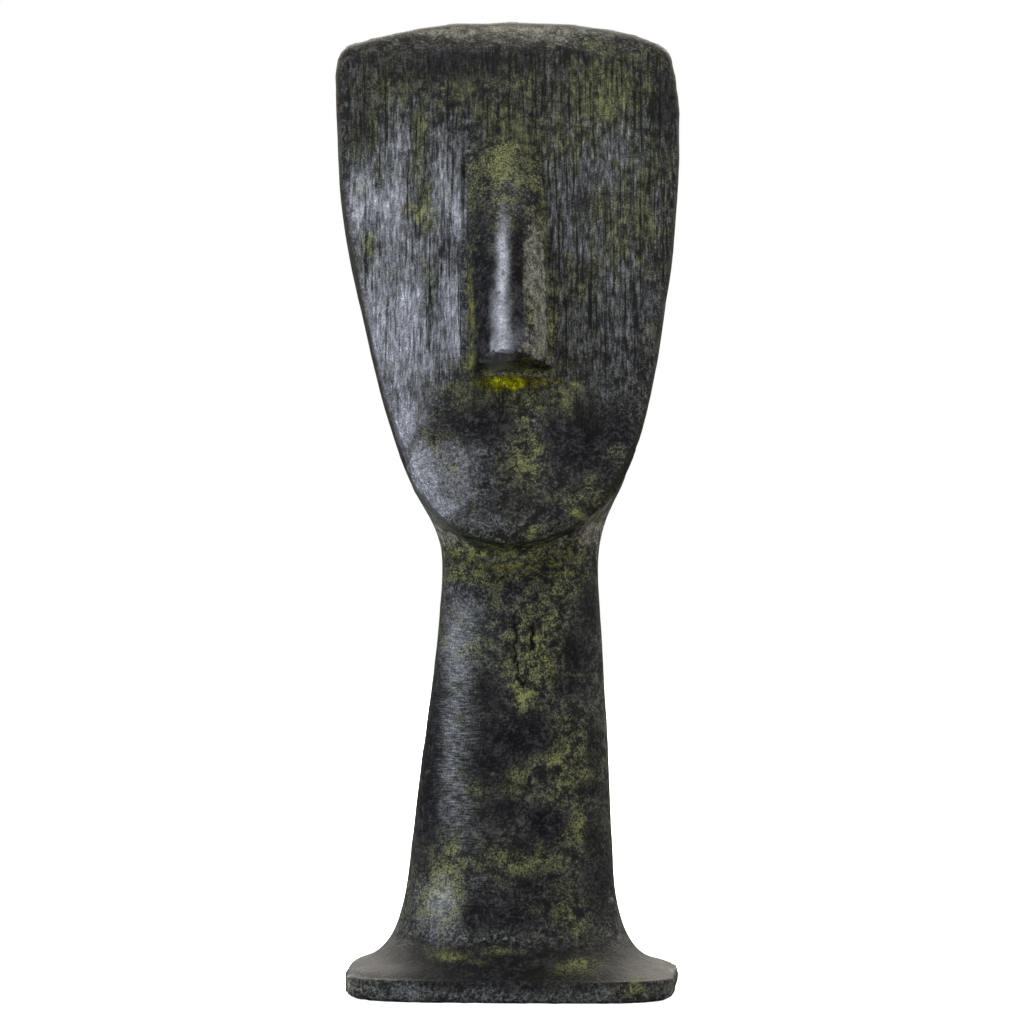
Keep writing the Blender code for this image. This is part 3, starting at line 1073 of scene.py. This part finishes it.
# Sizes of the material's noises, from the broad down to the fine.
BROAD_SIZE = 3.4
CLUMP_SIZE = 1.5
STREAK_SIZE = 1.1
FINE_SIZE = 0.5
LINE_SIZE = 0.4
FACE_MARK_SIZE = 0.34
NECK_MARK_SIZE = 0.22
GRAIN_SIZE = 0.22
NETWORK_SIZE = 0.45
VEIN_SIZE = 3.2

# How strongly some of the layers cover what lies under them, and how metallic bare metal is.
RIM_STRENGTH = 0.85
SOOT_AND_SHADE_STRENGTH = 0.92
VEIN_STRENGTH = 0.7
POLISH_AND_HIGHLIGHT_STRENGTH = 0.85
BARE_METALLIC = 0.7

ROUGHNESS = 0.54
SPECULAR = 0.05
BUMP_DEPTH = 0.14


def bronze_noises(tree):
    """The noises that the material's layers are made from, by name."""
    place = add_node(tree, "TexCoord").outputs["Object"]
    face_filed, neck_filed = share_of(tree, "face_filed"), share_of(tree, "neck_filed")
    fine = speckle(tree, place, FINE_SIZE, detail=3.0, roughness=0.65)
    face_marks = speckle(tree, place, FACE_MARK_SIZE, detail=2.0, stretch=(1.0, 5.0, 6.0))
    neck_marks = speckle(tree, place, NECK_MARK_SIZE, detail=2.0, stretch=(7.0, 7.0, 1.0))
    marks = mix_value(tree, face_filed, fine, face_marks)
    lines = speckle(tree, place, LINE_SIZE, detail=1.0, stretch=(1.0, 30.0, 40.0))
    lines = between(tree, lines, 0.42, 0.32)
    streaks = speckle(tree, place, STREAK_SIZE, detail=3.0, stretch=(1.0, 3.0, 7.0))
    streaks = calculate(tree, "SUBTRACT", streaks, 0.5)
    return SimpleNamespace(
        broad=speckle(tree, place, BROAD_SIZE, detail=2.0, roughness=0.5),
        clumps=speckle(tree, place, CLUMP_SIZE, detail=2.0, roughness=0.5),
        fine=fine,
        grain=speckle(tree, place, GRAIN_SIZE, detail=1.0),
        network=cells(tree, place, NETWORK_SIZE),
        vein_cells=cells(tree, place, VEIN_SIZE),
        marks=mix_value(tree, neck_filed, marks, neck_marks),
        lines=calculate(tree, "MULTIPLY", lines, face_filed),
        streaks=calculate(tree, "MULTIPLY", streaks, face_filed),
        face_filed=face_filed,
    )


def metal_tone(tree, noises):
    """How light the dark bronze is."""
    return blend_level(
        tree,
        (noises.broad, 1.0, 0.5),
        (noises.clumps, 1.3, 0.5),
        (noises.fine, 1.0, 0.5),
        (noises.grain, 0.9, 0.5),
        (noises.marks, 1.2, 0.5),
        (noises.lines, -0.3, 0.0),
        start=0.5,
    )


def olive_layer(tree, noises):
    """How much olive patina covers the bronze, and how light it is."""
    patchy = blend_level(
        tree, (noises.broad, 1.6, 0.5), (noises.clumps, 1.3, 0.5), (noises.fine, 0.5, 0.5)
    )
    patchy = calculate(tree, "MULTIPLY", patchy, mix_value(tree, noises.face_filed, 1.0, 0.65))
    level = blend_level(
        tree, (share_of(tree, "olive"), 1.0, 0.0), (patchy, 1.0, 0.0), (noises.streaks, 2.0, 0.0)
    )
    granular = blend_level(
        tree,
        (noises.clumps, 1.0, 0.5),
        (noises.fine, 1.3, 0.5),
        (noises.grain, 1.5, 0.5),
        (noises.network, -0.9, 0.2),
    )
    brushed = blend_level(
        tree, (noises.marks, 1.4, 0.5), (noises.clumps, 0.5, 0.5), (noises.grain, 0.6, 0.5)
    )
    brushed_share = calculate(tree, "MULTIPLY", noises.face_filed, 0.7)
    tone = blend_level(
        tree,
        (mix_value(tree, brushed_share, granular, brushed), 1.0, 0.0),
        (level, 0.25, 0.75),
        (share_of(tree, "core"), 0.2, 0.0),
        (noises.lines, -0.3, 0.0),
        start=0.48,
    )
    return between(tree, level, -0.15, 0.95), tone


def soot_and_shade_share(tree, noises):
    """How much blue-black soot and painted shade cover what lies under them."""
    level = blend_level(
        tree,
        (share_of(tree, "dark"), 1.0, 0.0),
        (noises.broad, 1.3, 0.5),
        (noises.clumps, 1.2, 0.5),
        (noises.fine, 0.5, 0.5),
    )
    return between(tree, level, 0.15, 0.8, 0.0, SOOT_AND_SHADE_STRENGTH)


def bloom_and_light_share(tree, noises):
    """How much pale bloom, painted light and painted reflection cover what lies under them."""
    level = blend_level(
        tree, (share_of(tree, "pale"), 1.0, 0.0), (noises.clumps, 0.4, 0.5), (noises.fine, 0.5, 0.5)
    )
    return between(tree, level, 0.1, 0.8)


def vein_share(tree, noises):
    """Thin dark veins, in some places only."""
    veins = between(tree, noises.vein_cells, 0.05, 0.0)
    places = between(tree, noises.broad, 0.5, 0.6, 0.0, VEIN_STRENGTH)
    return calculate(tree, "MULTIPLY", veins, places)


def deposit_layer(tree, noises):
    """How much of the bright deposit there is, and how light it is."""
    deposit = share_of(tree, "deposit")
    level = blend_level(
        tree, (deposit, 1.0, 0.0), (noises.fine, 0.4, 0.5), (noises.clumps, 0.5, 0.5)
    )
    tone = blend_level(
        tree,
        (deposit, 0.35, 0.65),
        (noises.fine, 1.0, 0.5),
        (noises.clumps, 0.8, 0.5),
        (noises.grain, 0.6, 0.5),
        start=0.5,
    )
    return between(tree, level, 0.05, 0.55), tone


def bare_and_sheen_layer(tree, noises, polish_and_highlight, olive_share, dark_share):
    """How much of the metal is bare and painted with a sheen, and how light it is."""
    level = blend_level(
        tree,
        (share_of(tree, "wear_and_sheen"), 1.2, 0.0),
        (noises.marks, 1.0, 0.5),
        (noises.grain, 0.5, 0.5),
        (noises.clumps, 0.4, 0.5),
        (noises.broad, 0.4, 0.5),
        (olive_share, -0.4, 0.0),
        (dark_share, -0.4, 0.0),
        (noises.lines, -0.35, 0.0),
    )
    tone = blend_level(
        tree,
        (noises.marks, 1.1, 0.5),
        (noises.grain, 0.8, 0.5),
        (noises.clumps, 0.5, 0.5),
        start=0.5,
    )
    tone = mix_value(tree, between(tree, polish_and_highlight, 0.2, 0.9, 0.0, 0.3), tone, 0.5)
    polish_and_highlight_cover = between(tree, polish_and_highlight, 0.1, 0.9, 0.0, POLISH_AND_HIGHLIGHT_STRENGTH)
    return calculate(tree, "MAXIMUM", between(tree, level, -0.05, 1.4), polish_and_highlight_cover), tone


def surface_roughness(tree, noises, polish_and_highlight, olive_share, bare_and_sheen_share):
    """Smoother where the metal is bare or polished, rougher on the olive patina."""
    return blend_level(
        tree,
        (bare_and_sheen_share, -0.16, 0.0),
        (noises.fine, 0.3, 0.5),
        (olive_share, 0.1, 0.0),
        (polish_and_highlight, -0.12, 0.0),
        start=ROUGHNESS,
    )


def fine_bump(tree, noises, polish_and_highlight, olive_share):
    """The finest marks, too small for the mesh."""
    height = blend_level(
        tree,
        (noises.marks, 0.8, 0.5),
        (noises.grain, 0.5, 0.5),
        (noises.clumps, 0.5, 0.5),
        (noises.lines, -0.25, 0.0),
        (olive_share, 0.15, 0.0),
    )
    height = calculate(tree, "MULTIPLY", height, between(tree, polish_and_highlight, 0.1, 0.9, 1.0, 0.75))
    return add_node(tree, "Bump", {"Height": height, "Distance": BUMP_DEPTH * MM}).outputs["Normal"]


def patinated_bronze():
    """Dark bronze, mottled olive, with file marks and a soft sheen where it is bare; its colour also
    holds painted shade, painted light and painted highlights.
    """
    material, shader = new_material("patinated_bronze")
    tree = material.node_tree
    noises = bronze_noises(tree)
    polish_and_highlight = share_of(tree, "polish_and_highlight")

    tone = metal_tone(tree, noises)
    olive_share, olive_tone = olive_layer(tree, noises)
    dark_share = soot_and_shade_share(tree, noises)
    deposit_share, deposit_tone = deposit_layer(tree, noises)
    rim_and_shelf_share = calculate(tree, "MULTIPLY", share_of(tree, "rim"), RIM_STRENGTH)
    bare_and_sheen_share, bare_and_sheen_tone = bare_and_sheen_layer(tree, noises, polish_and_highlight, olive_share, dark_share)
    colour = shades(tree, tone, METAL_SHADES)
    # The dark, pale, rim and bare layers also carry painted shade, painted light, painted reflection
    # and painted sheen.
    layers = (
        (olive_share, shades(tree, olive_tone, OLIVE_SHADES)),
        (dark_share, shades(tree, tone, SOOT_AND_SHADE_COLOURS)),
        (bloom_and_light_share(tree, noises), shades(tree, olive_tone, PALE_SHADES)),
        (vein_share(tree, noises), VEIN_BLACK),
        (deposit_share, shades(tree, deposit_tone, DEPOSIT_SHADES)),
        (rim_and_shelf_share, RIM_BROWN_AND_SHELF_SHADE),
        (bare_and_sheen_share, shades(tree, bare_and_sheen_tone, BARE_AND_SHEEN_SHADES)),
        (share_of(tree, "hole"), HOLE_BLACK),
    )
    for share, layer in layers:
        colour = mix_colour(tree, share, colour, layer)

    connect(
        shader,
        {
            "Base Color": colour,
            "Roughness": surface_roughness(tree, noises, polish_and_highlight, olive_share, bare_and_sheen_share),
            "Metallic": calculate(tree, "MULTIPLY", bare_and_sheen_share, BARE_METALLIC),
            "Normal": fine_bump(tree, noises, polish_and_highlight, olive_share),
            "Specular IOR Level": SPECULAR,
        },
    )
    return material


# --- the studio ---

# Sizes of the studio itself, in metres.
FLOOR_RADIUS = 1.6
BACKDROP_RADIUS = 2.6
CAMERA_CLIP_START = 0.01

FLOOR_GLOW = 0.95
BACKDROP_GLOW = 1.0
WORLD_LIGHT = 0.1
WHITE = (1.0, 1.0, 1.0)
PALE_GREY = (0.8, 0.8, 0.8)
BLACK = (0.0, 0.0, 0.0)

# The soft lights: name, azimuth and elevation in degrees, distance, width and height in metres,
# radiance, colour. Azimuth 0 is the camera's side, positive towards the viewer's right.
SOFTBOXES = (
    ("key", -8.0, 50.0, 0.7, 0.22, 0.18, 18.0, WHITE),
    ("left", -58.0, 12.0, 0.7, 0.35, 0.5, 10.0, (0.92, 0.96, 1.0)),
    ("right", 78.0, 10.0, 0.8, 0.5, 0.8, 5.0, (1.0, 0.98, 0.94)),
    ("back", 180.0, 42.0, 0.9, 1.6, 0.8, 9.6, (1.0, 0.945, 0.875)),
    ("below", 0.0, -50.0, 0.7, 0.9, 0.3, 5.0, WHITE),
)


def add_camera():
    """The view in front of the face, level."""
    camera = add_object("camera", bpy.data.cameras.new("camera"))
    camera.location = Vector(CAMERA_PLACE) * MM
    camera.rotation_euler = (math.radians(90.0), 0.0, 0.0)
    camera.data.lens = CAMERA_LENS
    camera.data.clip_start = CAMERA_CLIP_START
    bpy.context.scene.camera = camera


def add_softbox(name, azimuth, elevation, distance, width, height, radiance, colour):
    """A soft rectangular light aimed at the middle of the piece."""
    light = bpy.data.lights.new(name, "AREA")
    light.shape = "RECTANGLE"
    light.size = width
    light.size_y = height
    light.energy = radiance * math.pi * width * height
    light.color = colour
    turn, rise = math.radians(azimuth), math.radians(elevation)
    out = Vector((math.sin(turn) * math.cos(rise), -math.cos(turn) * math.cos(rise), math.sin(rise)))
    holder = add_object(name, light)
    holder.location = Vector((0.0, 0.0, 0.5 * FULL_HEIGHT * MM)) + out * distance
    holder.rotation_euler = out.to_track_quat("Z", "Y").to_euler()
    holder.visible_camera = False


def plain_material(name, colour, glow):
    """An even, dull colour that glows white by itself."""
    material, shader = new_material(name)
    connect(
        shader,
        {
            "Base Color": (*colour, 1.0),
            "Roughness": 0.9,
            "Specular IOR Level": 0.1,
            "Emission Color": (*WHITE, 1.0),
            "Emission Strength": glow,
        },
    )
    return material


def add_stage_piece(name, net, material):
    """A piece of the studio that doesn't light or mirror itself in the bronze."""
    mesh = bpy.data.meshes.new(name)
    net.to_mesh(mesh)
    net.free()
    mesh.materials.append(material)
    piece = add_object(name, mesh)
    piece.visible_diffuse = False
    piece.visible_glossy = False
    return piece


def add_floor():
    """A round pale floor just under the piece."""
    net = bmesh.new()
    bmesh.ops.create_circle(net, cap_ends=True, segments=96, radius=FLOOR_RADIUS)
    floor = add_stage_piece("floor", net, plain_material("pale_floor", PALE_GREY, FLOOR_GLOW))
    floor.location.z = low.z - FLOOR_GAP * MM


def add_backdrop():
    """A white dome that only the camera sees."""
    net = bmesh.new()
    bmesh.ops.create_uvsphere(net, u_segments=48, v_segments=24, radius=BACKDROP_RADIUS)
    dome = add_stage_piece("backdrop", net, plain_material("white_backdrop", BLACK, BACKDROP_GLOW))
    dome.visible_transmission = False
    dome.visible_shadow = False


def light_scene():
    """Faint light from all around and the soft lights."""
    world = bpy.data.worlds.new("studio")
    world.use_nodes = True
    background = world.node_tree.nodes["Background"]
    background.inputs["Color"].default_value = (*WHITE, 1.0)
    background.inputs["Strength"].default_value = WORLD_LIGHT
    bpy.context.scene.world = world
    bpy.context.scene.view_settings.view_transform = "Standard"
    for softbox in SOFTBOXES:
        add_softbox(*softbox)


# --- the whole ---


def build():
    """The bronze head: a smooth skin with its relief and patina, in place of the plain solid."""
    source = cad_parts[NODE]
    places, stands_out = crisp_lines(source)
    feet = nose_feet(places, stands_out)
    piece = build_skin(source, places)
    halve_net(piece.data, near_relief(piece.data, places))
    points, normals, shares = carve(piece, feet)
    store(piece.data, patina_shares(points, normals, shares))
    piece.data.materials.clear()
    piece.data.materials.append(patinated_bronze())
    for polygon in piece.data.polygons:
        polygon.use_smooth = True
    piece.data.set_sharp_from_angle(angle=SHARP_SHADING)
    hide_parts(NODE)
    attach(piece, "root")


add_camera()
build()
add_floor()
add_backdrop()
light_scene()
